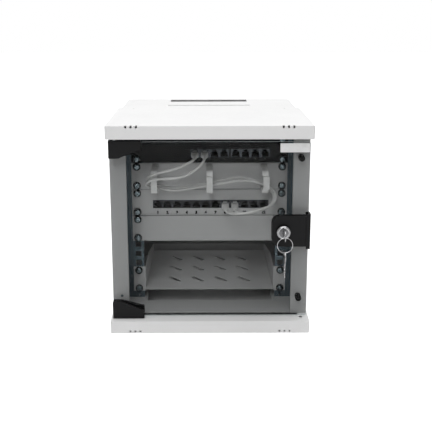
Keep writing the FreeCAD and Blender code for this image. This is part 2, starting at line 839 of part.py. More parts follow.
# Rubber bumpers on the right post
bumpers = []
for rise in bumper_rises:
    start = glass_back + 0.3
    bumper = rod(bumper_radius, (bumper_x, start, rise), (0, 1, 0), post_front - start)
    bumper = round_edges(bumper, 1.0, lambda e: e.CenterOfMass.y < start + 0.1)
    bumper = bumper.fuse(rod(bumper_hole - pin_gap, (bumper_x, post_front - 1, rise), (0, 1, 0), sheet + 2.2))
    bumper = bumper.fuse(Part.makeCone(3.3, 1.8, 4.0, V(bumper_x, post_front + sheet + 0.2, rise), V(0, 1, 0)))
    bumpers.append(bumper)
save("bumpers", bumpers)

# Pivot bushes in the covers' lips, and the pins on the door
low_bush = rod(bush_radius, (-pivot_x, pivot_y, cover_height - sheet), (0, 0, 1), sheet)
low_bush = low_bush.fuse(rod(bush_flange, (-pivot_x, pivot_y, cover_height), (0, 0, 1), bush_flange_height))
low_bush = low_bush.cut(rod(pin_radius + pin_gap, (-pivot_x, pivot_y, 0), (0, 0, 1), 40))
save("pivot_bushes", [low_bush, mirror_z(low_bush)])

door_low = cover_height + shoe_clear


def mirror_door(solid):
    """The top fitting is the bottom one turned over about the door's half height."""
    return solid.mirror(V(0, 0, door_mid), V(0, 0, 1))


pin_top = door_low + shoe_block_rise - 1
low_pin = rod(pin_radius, (-pivot_x, pivot_y, cover_height - 6), (0, 0, 1), pin_top - cover_height + 6)
high_pin = rod(pin_radius, (-pivot_x, pivot_y, 2 * door_mid - pin_top), (0, 0, 1),
               body_high + 5 - (2 * door_mid - pin_top))
save("pivot_pins", [low_pin, high_pin])

# Hinge shoes that clamp the glass at its left corners
shoe_left = -glass_half - shoe_overhang
shoe_right = shoe_left + shoe_length
shoe_top = door_low + shoe_rise
clamp_screw_places = ((shoe_left + 17.0, door_low + 17.5), (shoe_right - 10.5, door_low + 8.5))


def shoe_plate(end_rise, y0, y1):
    outline = [
        (shoe_left, door_low), (shoe_right, door_low), (shoe_right, door_low + end_rise),
        (shoe_left + shoe_flat, shoe_top), (shoe_left, shoe_top),
    ]
    plate = front_prism(outline, y0, y1)
    return round_edges(plate, 1.5, lambda e: along_y(e) and e.CenterOfMass.z > door_low + 1)


def clamp_hole(x, z, radius):
    return rod(radius, (x, front, z), (0, 1, 0), 40)


shoe_front = shoe_plate(shoe_end_rise, clamp_front - clamp, clamp_front)
shoe_front = round_edges(shoe_front, 0.8, lambda e: e.CenterOfMass.y < clamp_front - clamp + 0.01)
shoe_back = shoe_plate(shoe_back_end_rise, clamp_back, clamp_back + clamp)
shoe_back = shoe_back.fuse(box(shoe_left, shoe_right, clamp_front, clamp_back, door_low, glass_low - 0.3))
shoe_back = shoe_back.fuse(box(shoe_left, shoe_left + shoe_block, clamp_front, clamp_back,
                               door_low, door_low + shoe_block_rise))
shoe_back = shoe_back.cut(rod(pin_radius, (-pivot_x, pivot_y, door_low - 1), (0, 0, 1), pin_top - door_low + 1))
clamp_screws = []
for x, z in clamp_screw_places:
    shoe_front = shoe_front.cut(rod(clamp_screw + pin_gap, (x, clamp_front - 2.5, z), (0, 1, 0), 10))
    shoe_back = shoe_back.cut(clamp_hole(x, z, clamp_screw + hole_gap))
    screw = pan_screw(clamp_screw, 3.8, 2.4, clamp_back + clamp - clamp_front + 2.3,
                      (x, clamp_back + clamp, z), (0, -1, 0))
    clamp_screws.append(screw)
    clamp_screws.append(mirror_door(screw))
save("hinge_shoe_front_bottom", shoe_front)
save("hinge_shoe_front_top", mirror_door(shoe_front))
save("hinge_shoe_back_bottom", shoe_back)
save("hinge_shoe_back_top", mirror_door(shoe_back))

# Lock plates either side of the glass, with the cap over the glass edge
lock_z = door_mid


def lock_plate(y0, y1):
    plate = box(lock_plate_left, lock_plate_right, y0, y1, lock_z - lock_plate_half, lock_z + lock_plate_half)
    plate = round_edges(plate, lock_plate_corner, lambda e: along_y(e) and e.CenterOfMass.x < lock_x)
    return plate.cut(rod(barrel_radius + hole_gap, (lock_x, front, lock_z), (0, 1, 0), 40))


lock_screw_x = glass_half - lock_screw_inset
lock_screw_places = ((lock_screw_x, lock_z - lock_screw_offset), (lock_screw_x, lock_z + lock_screw_offset))
lock_front = lock_plate(clamp_front - clamp, clamp_front)
lock_front = round_edges(lock_front, 0.8, lambda e: e.CenterOfMass.y < clamp_front - clamp + 0.01
                         and abs(e.CenterOfMass.x - lock_x) > 1.0)
lock_back = lock_plate(clamp_back, clamp_back + clamp)
for x, z in lock_screw_places:
    lock_front = lock_front.cut(rod(clamp_screw + pin_gap, (x, clamp_front - 2.5, z), (0, 1, 0), 10))
    lock_back = lock_back.cut(clamp_hole(x, z, clamp_screw + hole_gap))
    clamp_screws.append(pan_screw(clamp_screw, 3.8, 2.4, clamp_back + clamp - clamp_front + 2.3,
                                  (x, clamp_back + clamp, z), (0, -1, 0)))
save("clamp_screws", clamp_screws)
save("lock_plate_front", lock_front)
save("lock_plate_back", lock_back)

cap_left = lock_plate_right - edge_cap_lip
cap_right = lock_plate_right + edge_cap_gap + edge_cap_wall
cap_front = clamp_front - clamp - 1.3
cap_back = clamp_back + clamp + 1.3
edge_cap = box(cap_left, cap_right, cap_front, cap_back, lock_z - edge_cap_half, lock_z + edge_cap_half)
edge_cap = edge_cap.cut(box(cap_left - 1, lock_plate_right + edge_cap_gap, cap_front + 1.3, cap_back - 1.3,
                            lock_z - edge_cap_half - 1, lock_z + edge_cap_half + 1))
edge_cap = round_edges(edge_cap, 1.0, lambda e: along_z(e) and e.CenterOfMass.x > cap_right - 0.1)
save("lock_edge_cap", edge_cap)

# Glass with notches for the shoes' pivot blocks and holes for the clamps and the lock
glass = box(-glass_half, glass_half, glass_front, glass_back, glass_low, glass_high)
glass = round_edges(glass, 3.0, along_y)
notch_right = shoe_left + shoe_block + 0.4
notch = box(-glass_half - 5, notch_right, front, 0, 0, door_low + shoe_block_rise + 0.4)
glass = glass.cut([notch, mirror_door(notch)])
glass_hole = clamp_screw + 1.5
for x, z in clamp_screw_places:
    hole = clamp_hole(x, z, glass_hole)
    glass = glass.cut([hole, mirror_door(hole)])
for x, z in lock_screw_places:
    glass = glass.cut(clamp_hole(x, z, glass_hole))
glass = glass.cut(rod(barrel_radius + 1.0, (lock_x, front, lock_z), (0, 1, 0), 40))
save("door_glass", glass)

# Thin gaskets between the clamps and the glass
gaskets = []
inset = 1.0
for y0 in (clamp_front, glass_back):
    pad = front_prism([
        (shoe_left + shoe_block + 1.5, glass_low + inset), (shoe_right - inset, glass_low + inset),
        (shoe_right - inset, door_low + shoe_end_rise - inset),
        (shoe_left + shoe_block + 1.5, shoe_top - 4.0)], y0, y0 + gasket)
    for x, z in clamp_screw_places:
        pad = pad.cut(clamp_hole(x, z, glass_hole))
    gaskets.append(pad)
    gaskets.append(mirror_door(pad))
    pad = box(lock_plate_left + inset, glass_half - inset, y0, y0 + gasket,
              lock_z - lock_plate_half + inset, lock_z + lock_plate_half - inset)
    pad = round_edges(pad, lock_plate_corner - inset, lambda e: along_y(e) and e.CenterOfMass.x < lock_x)
    pad = pad.cut(rod(barrel_radius + 1.0, (lock_x, front, lock_z), (0, 1, 0), 40))
    for x, z in lock_screw_places:
        pad = pad.cut(clamp_hole(x, z, glass_hole))
    gaskets.append(pad)
save("glass_gaskets", gaskets)

# Lock: bezel and barrel, nut, plug, cam and cam screw
plate_face = clamp_front - clamp
barrel_back = front + cam_setback - 0.4
bezel_face = plate_face - bezel_proud


def lock_barrel():
    profile = [
        (plug_radius + pin_gap, bezel_face), (9.0, bezel_face), (10.6, bezel_face + 1.4),
        (bezel_radius, bezel_face + 4.0), (bezel_radius, plate_face), (barrel_radius, plate_face),
        (barrel_radius, barrel_back), (plug_radius + pin_gap, barrel_back),
    ]
    wire = Part.makePolygon([V(lock_x + r, y, lock_z) for r, y in profile + profile[:1]])
    return Part.Face(wire).revolve(V(lock_x, 0, lock_z), V(0, 1, 0), 360)


save("lock_barrel", lock_barrel())
nut_front = clamp_back + clamp
nut_radius = 24.0 / math.sqrt(3)
nut_points = [(lock_x + nut_radius * math.cos(math.radians(30 + 60 * k)),
               lock_z + nut_radius * math.sin(math.radians(30 + 60 * k))) for k in range(6)]
lock_nut = front_prism(nut_points, nut_front, nut_front + 4.0)
lock_nut = lock_nut.cut(rod(barrel_radius + pin_gap, (lock_x, front, lock_z), (0, 1, 0), 60))
save("lock_nut", lock_nut)

plug_face = bezel_face - 0.6
cam_y = front + cam_setback
lock_plug = rod(plug_radius, (lock_x, plug_face, lock_z), (0, 1, 0), cam_y - plug_face)
square = 3.5
lock_plug = lock_plug.fuse(box(lock_x - square, lock_x + square, cam_y - 1, cam_y + cam_thickness - 0.1,
                               lock_z - square, lock_z + square))
keyway_half = key_thickness / 2 + key_gap
lock_plug = lock_plug.cut(box(lock_x - keyway_half, lock_x + keyway_half, plug_face - 1,
                              plug_face + keyway_depth, lock_z - key_blade / 2 - key_gap,
                              lock_z + key_blade / 2 + key_gap))
lock_plug = lock_plug.cut(rod(1.5, (lock_x, cam_y - 4, lock_z), (0, 1, 0), 10))
save("lock_plug", lock_plug)

cam = rod(cam_half + 1.5, (lock_x, cam_y, lock_z), (0, 1, 0), cam_thickness)
cam = cam.fuse(box(lock_x - cam_half, lock_x + cam_half, cam_y, cam_y + cam_thickness,
                   lock_z - cam_length, lock_z))
cam = round_edges(cam, 2.5, lambda e: along_y(e) and e.CenterOfMass.z < lock_z - cam_length + 1)
slot_half = square + pin_gap
cam = cam.cut(box(lock_x - slot_half, lock_x + slot_half, cam_y - 1, cam_y + 5,
                  lock_z - slot_half, lock_z + slot_half))
save("lock_cam", cam)
cam_screw = pan_screw(1.5 - pin_gap, 5.0, 2.2, 5.5, (lock_x, cam_y + cam_thickness, lock_z), (0, -1, 0))
save("cam_screw", cam_screw)


# Keys: u runs from the bow's end to the blade's tip, v runs across
def make_key():
    """A flat key lying in the plane of Y and Z, bow at the origin end, blade along +Y."""
    thick = key_thickness
    x0 = -thick / 2
    bow = rod(key_bow, (x0, key_bow, 0), (1, 0, 0), thick)
    neck = box(x0, x0 + thick, key_bow, key_shoulder, -key_bow * 0.55, key_bow * 0.55)
    blade_half = key_blade / 2
    tip = 3.0
    outline = [(key_shoulder - 1, -blade_half), (key_length - tip, -blade_half), (key_length, 0.4),
               (key_length - 1.2, blade_half), (key_shoulder - 1, blade_half)]
    key = bow.fuse(neck).fuse(side_prism(outline, x0, x0 + thick))
    for k, bite in enumerate((1.0, 1.8, 0.8, 1.5)):
        y = key_shoulder + 5.5 + 4.0 * k
        cut = side_prism([(y - 1.8, -blade_half - 0.1), (y + 1.8, -blade_half - 0.1),
                          (y + 0.5, -blade_half + bite), (y - 0.5, -blade_half + bite)], x0 - 1, x0 + thick + 1)
        key = key.cut(cut)
    key = key.cut(rod(key_hole, (x0 - 1, key_hole + key_hole_edge, 0), (1, 0, 0), thick + 2))
    return key.removeSplitter()


hole_from_end = key_hole + key_hole_edge
key_shift = plug_face - 0.3 - key_shoulder
key = make_key()
key.translate(V(lock_x, key_shift, lock_z))
save("key", key)

ring_y = key_shift + hole_from_end
wire_gap = 0.25
ring_pivot_z = lock_z - key_hole + ring_wire + wire_gap
ring_z = ring_pivot_z - ring_radius
save("key_ring", Part.makeTorus(ring_radius, ring_wire, V(lock_x, ring_y, ring_z), V(0, 1, 0)))

spare_pivot_z = ring_z - ring_radius
spare_hole_z = spare_pivot_z + ring_wire + wire_gap - key_hole
spare = make_key()
spare.rotate(V(0, 0, 0), V(1, 0, 0), -90)
spare.translate(V(lock_x, ring_y, spare_hole_z + hole_from_end))
save("spare_key", spare)

# Bare label plate on the glass
label_right = glass_half - label_margin
label_high = glass_high - label_drop
label = box(label_right - label_width, label_right, glass_front - label_thickness, glass_front,
            label_high - label_height, label_high)
save("label_plate", round_edges(label, 1.0, along_y))


# Plugs with their boots, and the patch cords
def make_plug(x, low):
    """A modular plug in its port, latch up, with a boot that tapers to the cord."""
    half_width = port_width / 2 - plug_gap
    z0 = low + plug_gap
    z1 = low + port_height - plug_gap
    y1 = switch_face + port_depth - 1.0
    y0 = y1 - plug_length
    body = box(x - half_width, x + half_width, y0, y1, z0, z1)
    latch_half = port_notch_width / 2 - 0.3
    latch = side_prism([(y1 - 1, z1 - 0.5), (y1 - 1, z1), (y0 + 2, z1 + 2.6), (y0, z1 + 2.6),
                        (y0, z1 + 1.6), (y1 - 6, z1 - 0.5)], x - latch_half, x + latch_half)
    return body.fuse(latch), y0, (z0 + z1) / 2


def make_boot(x, y0, middle):
    wide = 5.4
    high = 3.9
    narrow = cord_radius + 1.1
    back_wire = Part.makePolygon([V(x + a * wide, y0, middle + b * high)
                                  for a, b in ((-1, -1), (1, -1), (1, 1), (-1, 1), (-1, -1))])
    front_wire = Part.makePolygon([V(x + a * narrow, y0 - boot_length, middle + b * narrow)
                                   for a, b in ((-1, -1), (1, -1), (1, 1), (-1, 1), (-1, -1))])
    boot = Part.makeLoft([back_wire, front_wire], True, True)
    return round_edges(boot, 1.2, lambda e: abs(e.CenterOfMass.y - (y0 - boot_length / 2)) < 0.1)


switch_port_x = [switch_block_x[0] + (k - 1.5) * port_pitch for k in (0, 1)]
patch_port_x = [patch_centre + (k - (patch_ports - 1) / 2) * port_pitch for k in (7, 8)]
plug_places = {
    "plug_switch_1": (switch_port_x[0], switch_low),
    "plug_switch_2": (switch_port_x[1], switch_low),
    "plug_patch_8": (patch_port_x[0], patch_low),
    "plug_patch_9": (patch_port_x[1], patch_low),
}
ends = {}
for name, (x, low) in plug_places.items():
    plug, y0, middle = make_plug(x, low)
    boot = make_boot(x, y0, middle)
    save(name, [plug, boot])
    ends[name] = (x, y0 - boot_length, middle)


def cord_tube(points):
    """A round tube along straight runs joined by tangent arcs, as large as the runs allow."""
    points = [V(*p) for p in points]
    edges = []
    radii = []
    at = points[0]
    for before, corner, after in zip(points, points[1:], points[2:]):
        into = (corner - before)
        away = (after - corner)
        run = min(into.Length, away.Length)
        into.normalize()
        away.normalize()
        half_turn = into.getAngle(away) / 2
        reach = 0.45 * run
        radii.append(reach / math.tan(half_turn))
        start = corner - into * reach
        end = corner + away * reach
        inward = away - into
        inward.normalize()
        middle = corner + inward * (radii[-1] / math.cos(half_turn) - radii[-1])
        edges.append(Part.LineSegment(at, start).toShape())
        edges.append(Part.Arc(start, middle, end).toShape())
        at = end
    edges.append(Part.LineSegment(at, points[-1]).toShape())
    path = Part.Wire(edges)
    way = points[1] - points[0]
    section = Part.Wire([Part.Circle(points[0], way, cord_radius).toShape()])
    tube = path.makePipeShell([section], True, True)
    length = path.Length
    share = tube.Volume / (math.pi * cord_radius ** 2 * length)
    print("cord length", round(length, 1), "smallest radius", round(min(radii), 1),
          "volume share", round(share, 4), "valid", tube.isValid())
    print("radii", [round(r, 1) for r in radii])
    return tube


def at_depth(points):
    return [(x, front + depth, z) for x, depth, z in points]


cord_1_route = [ends["plug_switch_1"]] + at_depth([
    (-23.6, 54.0, 268.1), (-31.5, 44.0, 265.0), (-45.5, 41.0, 258.5), (-59.0, 40.5, 254.5),
    (-73.5, 41.0, 251.0), (-86.5, 44.5, 246.5), (-97.0, 53.0, 240.0), (-101.5, 64.5, 232.0),
    (-97.5, 75.0, 224.5), (-86.0, 80.5, 220.0), (-71.0, 81.5, 216.5), (-53.0, 81.0, 214.5),
    (-34.0, 80.5, 216.5), (-14.0, 80.5, 220.5), (7.0, 81.4, 225.0), (28.0, 81.5, 230.0),
    (48.0, 82.0, 232.5), (66.0, 82.0, 229.5), (81.0, 81.5, 223.5), (94.0, 78.5, 217.0),
    (102.0, 72.0, 209.5), (103.5, 65.0, 201.0), (99.0, 57.5, 193.5), (88.5, 50.5, 188.3),
    (75.0, 45.5, 185.3), (59.5, 43.6, 183.3), (48.0, 45.8, 182.9), (41.5, 54.4, 182.6)])
cord_1_route.append(ends["plug_patch_9"])
cord_2_route = [ends["plug_switch_2"]] + at_depth([
    (-7.8, 54.0, 268.1), (-11.5, 45.0, 263.5), (-19.5, 41.0, 256.0), (-28.5, 41.0, 249.5),
    (-40.0, 41.5, 243.5), (-57.0, 42.0, 240.0), (-75.0, 42.5, 239.5), (-90.0, 46.5, 237.0),
    (-98.5, 53.5, 231.0), (-101.5, 64.5, 224.0), (-94.5, 73.0, 218.5), (-81.0, 74.0, 216.5),
    (-64.0, 73.0, 213.0), (-45.0, 72.0, 214.0), (-24.0, 72.0, 217.5), (-2.0, 72.3, 221.0),
    (20.0, 72.5, 224.5), (42.0, 73.0, 228.5), (64.0, 73.0, 229.5), (81.0, 72.5, 225.0),
    (95.5, 70.0, 219.5), (104.5, 64.0, 212.0), (105.5, 56.5, 201.5), (97.5, 48.5, 194.3),
    (85.0, 42.5, 191.4), (70.0, 38.5, 188.2), (55.0, 37.0, 185.0), (41.5, 39.5, 183.2),
    (31.5, 45.5, 182.8), (25.7, 54.4, 182.6)])
cord_2_route.append(ends["plug_patch_8"])
save("patch_cord_1", cord_tube(cord_1_route))
save("patch_cord_2", cord_tube(cord_2_route))
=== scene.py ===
import json
import math

import bmesh
import bpy
from mathutils import Matrix, Vector

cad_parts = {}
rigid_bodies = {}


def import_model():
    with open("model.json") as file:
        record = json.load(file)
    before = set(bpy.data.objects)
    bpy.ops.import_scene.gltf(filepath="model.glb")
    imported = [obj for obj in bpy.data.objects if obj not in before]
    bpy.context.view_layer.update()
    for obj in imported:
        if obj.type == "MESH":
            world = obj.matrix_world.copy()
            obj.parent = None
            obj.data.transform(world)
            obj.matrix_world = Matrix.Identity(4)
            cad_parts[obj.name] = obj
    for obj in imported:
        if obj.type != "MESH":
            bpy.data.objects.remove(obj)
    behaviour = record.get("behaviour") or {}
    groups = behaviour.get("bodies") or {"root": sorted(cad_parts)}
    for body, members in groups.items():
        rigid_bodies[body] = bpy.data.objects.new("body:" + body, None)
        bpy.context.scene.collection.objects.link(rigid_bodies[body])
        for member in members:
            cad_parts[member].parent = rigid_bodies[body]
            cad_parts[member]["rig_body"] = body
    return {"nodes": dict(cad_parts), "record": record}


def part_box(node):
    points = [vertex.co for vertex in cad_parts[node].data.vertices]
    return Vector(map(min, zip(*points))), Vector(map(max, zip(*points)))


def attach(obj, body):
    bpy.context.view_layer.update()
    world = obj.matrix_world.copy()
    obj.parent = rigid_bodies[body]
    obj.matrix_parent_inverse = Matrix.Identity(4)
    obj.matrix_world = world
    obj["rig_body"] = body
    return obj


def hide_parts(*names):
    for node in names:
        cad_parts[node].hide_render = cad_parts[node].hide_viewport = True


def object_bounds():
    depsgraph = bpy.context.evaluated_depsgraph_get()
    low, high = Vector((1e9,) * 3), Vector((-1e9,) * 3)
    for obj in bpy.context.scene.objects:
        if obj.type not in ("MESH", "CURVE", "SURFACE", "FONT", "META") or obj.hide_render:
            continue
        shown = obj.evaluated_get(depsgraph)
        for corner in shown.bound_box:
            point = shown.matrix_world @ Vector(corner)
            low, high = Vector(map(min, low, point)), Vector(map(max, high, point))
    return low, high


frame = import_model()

# Wall mount network cabinet with a glass door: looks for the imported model, in metres.
cad_low, cad_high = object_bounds()
nodes = frame["nodes"]
MM = 0.001
COVER_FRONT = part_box("top_cover")[0].y
WHITE = (1.0, 1.0, 1.0, 1.0)


def add_object(name, data):
    """A new object in the scene for a mesh, curve, lamp or camera."""
    made = bpy.data.objects.new(name, data)
    bpy.context.scene.collection.objects.link(made)
    return made


def add_node(tree, kind, inputs=None, **settings):
    """A shader node with its settings made. Each input is a value or the socket that feeds it."""
    made = tree.nodes.new(kind)
    for name, value in settings.items():
        setattr(made, name, value)
    for name, value in (inputs or {}).items():
        if isinstance(value, bpy.types.NodeSocket):
            tree.links.new(value, made.inputs[name])
        else:
            made.inputs[name].default_value = value
    return made


def calculate(tree, operation, *values, clamp=False):
    """The result of a Math node, kept from 0 to 1 if it is clamped."""
    made = add_node(tree, "ShaderNodeMath", dict(enumerate(values)), operation=operation, use_clamp=clamp)
    return made.outputs[0]


# Camera at the photograph's viewing angle
IMAGE_SIDE = 432
FOCAL_PIXELS = 717.2
SHIFT_PIXELS = (7.9, -60.0)
CAMERA_PLACE = (-0.0083, -1.1936, 0.5103)
CAMERA_PITCH = 0.2127
CAMERA_YAW = 0.0054
CAMERA_ROLL = 0.0012
CLIP_NEAR = 0.05
CLIP_FAR = 50.0


def make_camera():
    data = bpy.data.cameras.new("camera")
    data.lens = FOCAL_PIXELS / IMAGE_SIDE * data.sensor_width
    data.shift_x = SHIFT_PIXELS[0] / IMAGE_SIDE
    data.shift_y = SHIFT_PIXELS[1] / IMAGE_SIDE
    data.clip_start = CLIP_NEAR
    data.clip_end = CLIP_FAR
    turn = Matrix.Rotation(-CAMERA_YAW, 4, "Z") @ Matrix.Rotation(math.pi / 2 - CAMERA_PITCH, 4, "X")
    turn = turn @ Matrix.Rotation(-CAMERA_ROLL, 4, "Z")
    camera = add_object("camera", data)
    camera.matrix_world = Matrix.Translation(CAMERA_PLACE) @ turn
    bpy.context.scene.camera = camera


# Materials
# The painted rim reflection: how its darkening grows from facing to edge-on surfaces
PAINTED_RIM_BLEND = 0.5
PAINTED_RIM_START = 0.1
PAINTED_RIM_END = 0.8


class Look:
    """A procedural material with one Principled shader, built up by short calls."""

    def __init__(self, name, colour, roughness, metallic=0.0):
        self.material = bpy.data.materials.new(name)
        self.material.use_nodes = True
        self.tree = self.material.node_tree
        self.shader = self.tree.nodes["Principled BSDF"]
        self.colour = colour
        self.set("Base Color", (*colour, 1.0))
        self.set("Roughness", roughness)
        self.set("Metallic", metallic)
        self.coordinates = self.node("ShaderNodeTexCoord").outputs
        self.place = self.coordinates["Object"]
        self.normal = None

    def set(self, name, value):
        self.shader.inputs[name].default_value = value
        return self

    def node(self, kind, inputs=None, **settings):
        return add_node(self.tree, kind, inputs, **settings)

    def link(self, socket, name):
        self.tree.links.new(socket, self.shader.inputs[name])

    def noise(self, size, detail=2.0, stretch=(1.0, 1.0, 1.0)):
        """Noise from 0 to 1 with grains about size metres across, longer where the stretch is below 1."""
        place = self.node("ShaderNodeMapping", {"Vector": self.place, "Scale": stretch}).outputs["Vector"]
        inputs = {"Vector": place, "Scale": 1.0 / size, "Detail": detail}
        return self.node("ShaderNodeTexNoise", inputs).outputs["Fac"]

    def cells(self, size):
        """A random value from 0 to 1 for each cell, about size metres across."""
        voronoi = self.node("ShaderNodeTexVoronoi", {"Vector": self.place, "Scale": 1.0 / size})
        return self.node("ShaderNodeSeparateColor", {"Color": voronoi.outputs["Color"]}).outputs["Red"]

    def between(self, factor, low, high, start=0.3, end=0.7):
        """Runs from low to high while the factor runs from start to end."""
        inputs = {"Value": factor, "From Min": start, "From Max": end, "To Min": low, "To Max": high}
        return self.node("ShaderNodeMapRange", inputs).outputs["Result"]

    def drift(self, factor, other, start=0.3, end=0.7):
        """The colour runs to another one while the factor runs from start to end."""
        mix = self.node("ShaderNodeMix", data_type="RGBA")
        self.tree.links.new(self.between(factor, 0.0, 1.0, start, end), mix.inputs["Factor"])
        source = self.shader.inputs["Base Color"]
        if source.is_linked:
            self.tree.links.new(source.links[0].from_socket, mix.inputs["A"])
        else:
            mix.inputs["A"].default_value = (*self.colour, 1.0)
        mix.inputs["B"].default_value = (*other, 1.0)
        self.link(mix.outputs["Result"], "Base Color")
        return self

    def rim(self, share):
        """Painted reflection: surfaces seen edge on are painted darker, as if plated metal mirrored dark
        surroundings.
        """
        facing = self.node("ShaderNodeLayerWeight", {"Blend": PAINTED_RIM_BLEND}).outputs["Facing"]
        return self.drift(facing, scaled(self.colour, share), PAINTED_RIM_START, PAINTED_RIM_END)

    def behind(self, plane, depth, other):
        """The colour runs to another one over a depth behind a plane, as seen from the door; it paints
        the shade inside ports.
        """
        y = self.node("ShaderNodeSeparateXYZ", {"Vector": self.place}).outputs["Y"]
        return self.drift(y, other, plane, plane + depth)

    def polish(self, factor, low, high):
        """The roughness runs from low to high as the factor rises."""
        self.link(self.between(factor, low, high), "Roughness")
        return self

    def matt(self, level=0.2):
        """Less mirror than the usual level of 0.5."""
        return self.set("Specular IOR Level", level)

    def bump(self, factor, depth):
        """Raises the surface by depth metres where the factor is 1."""
        inputs = {"Height": factor, "Distance": depth, "Strength": 1.0}
        if self.normal is not None:
            inputs["Normal"] = self.normal
        self.normal = self.node("ShaderNodeBump", inputs).outputs["Normal"]
        self.link(self.normal, "Normal")
        return self


def scaled(colour, factor):
    return tuple(min(1.0, c * factor) for c in colour)


def powder_coat(name, colour, roughness=0.42, drift=0.96):
    """Oven cured powder: orange peel, finer grain, faint drift of tone."""
    look = Look(name, colour, roughness)
    look.drift(look.noise(0.060, 3.0), scaled(colour, drift))
    look.polish(look.noise(0.004, 4.0), roughness - 0.05, roughness + 0.08)
    look.bump(look.noise(0.0016), 0.000012)
    look.bump(look.noise(0.0004), 0.000004)
    return look


def moulded(name, colour, roughness=0.5, grain=0.0003):
    """Moulded plastic or rubber: fine spark texture and slightly uneven sheen."""
    look = Look(name, colour, roughness)
    look.drift(look.noise(0.012, 3.0), scaled(colour, 0.88))
    look.polish(look.noise(0.002, 3.0), roughness - 0.07, roughness + 0.1)
    look.bump(look.noise(grain), 0.00001)
    return look


MARKS_ALL_WAYS = (1.0, 1.0, 1.0)
MARKS_ALONG_Y = (1.0, 0.15, 1.0)
MARKS_ALONG_Z = (1.0, 1.0, 0.2)
ROLLED_ALONG_Z = (1.0, 1.0, 0.15)


def plated(name, colour, roughness, stretch=MARKS_ALL_WAYS, rim=0.35):
    """Plated or turned metal with fine tool marks, and a painted reflection that darkens it where seen
    edge on.
    """
    look = Look(name, colour, roughness, metallic=1.0)
    look.rim(rim)
    look.drift(look.noise(0.004, 3.0), scaled(colour, 0.82))
    look.polish(look.noise(0.0012, 3.0, stretch), max(0.04, roughness - 0.06), roughness + 0.12)
    look.bump(look.noise(0.0005, 2.0, stretch), 0.000004)
    return look


def galvanised(name, colour, roughness=0.38):
    """Hot dip zinc: pale and dark crystals with rolling marks."""
    look = Look(name, colour, roughness, metallic=0.5)
    look.drift(look.cells(0.0035), scaled(colour, 0.72), 0.0, 1.0)
    look.drift(look.noise(0.030, 3.0), scaled(colour, 0.80))
    look.polish(look.cells(0.0035), roughness - 0.08, roughness + 0.12)
    look.bump(look.noise(0.0012, 3.0, ROLLED_ALONG_Z), 0.000012)
    return look


def clear_plastic(name, colour):
    """Milky clear plastic with the marks of its mould."""
    look = Look(name, colour, 0.12)
    look.set("Transmission Weight", 0.2).set("IOR", 1.5)
    look.bump(look.noise(0.002), 0.00001)
    return look


GLASS_TINT = (0.80, 0.81, 0.81)
GLASS_SHADOW_TINT = (0.895, 0.90, 0.90)
GLASS_EDGE = (0.55, 0.60, 0.60)
GLASS_MIRROR = 0.08
GLASS_IOR = 1.45


def door_glass(name):
    """Clear tempered glass with a grey tint and ground edges. Lamps shine through it."""
    look = Look(name, GLASS_TINT, 0.0)
    look.set("Transmission Weight", 1.0).set("IOR", GLASS_IOR)
    look.set("Specular Tint", (GLASS_MIRROR, GLASS_MIRROR, GLASS_MIRROR, 1.0))
    ground = look.between(look.noise(0.0008), 0.25, 0.5)
    edge = look.node("ShaderNodeBsdfPrincipled", {"Base Color": (*GLASS_EDGE, 1.0), "Roughness": ground})
    facing = look.node("ShaderNodeSeparateXYZ", {"Vector": look.coordinates["Normal"]}).outputs["Y"]
    is_face = calculate(look.tree, "GREATER_THAN", calculate(look.tree, "ABSOLUTE", facing), 0.5)
    pane = look.node("ShaderNodeMixShader", {0: is_face, 1: edge.outputs[0], 2: look.shader.outputs[0]})
    clear = look.node("ShaderNodeBsdfTransparent", {"Color": (*GLASS_SHADOW_TINT, 1.0)})
    rays = look.node("ShaderNodeLightPath").outputs
    lighting = calculate(look.tree, "MAXIMUM", rays["Is Shadow Ray"], rays["Is Diffuse Ray"])
    both = look.node("ShaderNodeMixShader", {0: lighting, 1: pane.outputs[0], 2: clear.outputs[0]})
    look.tree.links.new(both.outputs[0], look.tree.nodes["Material Output"].inputs["Surface"])
    return look


# Painted shade inside the ports: its colour, and where it starts and deepens behind the jack face
PORT_SHADE = (0.0015, 0.0015, 0.002)
PORT_SHADE_START = 0.4 * MM
PORT_SHADE_DEPTH = 0.8 * MM


def dark_inside(look, node):
    """Painted shade: the insides of a node's ports are painted darker than its face."""
    return look.behind(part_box(node)[0].y + PORT_SHADE_START, PORT_SHADE_DEPTH, PORT_SHADE)


